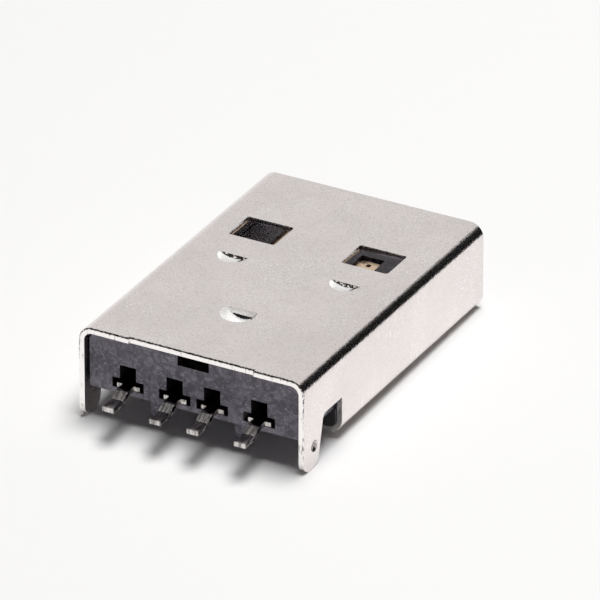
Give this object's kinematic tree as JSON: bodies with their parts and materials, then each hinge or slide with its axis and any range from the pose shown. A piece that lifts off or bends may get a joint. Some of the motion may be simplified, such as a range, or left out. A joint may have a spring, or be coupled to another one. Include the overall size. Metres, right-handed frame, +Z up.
{
  "type": "usb-a plug",
  "caption": "Right-angle USB-A plug that sits half sunk in a circuit board's edge, with a folded steel shell, a moulded housing and flat spring contacts.",
  "frame": {"origin": "on the board's upper face under the housing, midway between the two locating posts", "axes": "+X across the plug, +Y the way the plug is pushed into its socket, +Z up from the board"},
  "size_m": [0.012, 0.0197, 0.0049],
  "materials": {
    "shell": "satin nickel plating",
    "housing": "matte, glass-filled",
    "contact": "gold plated in front, tinned at the tail"
  },
  "bodies": {
    "root": {"shell": "shell", "housing": "housing", "contact_vbus": "contact", "contact_data_minus": "contact", "contact_data_plus": "contact", "contact_ground": "contact"}
  },
  "joints": []
}
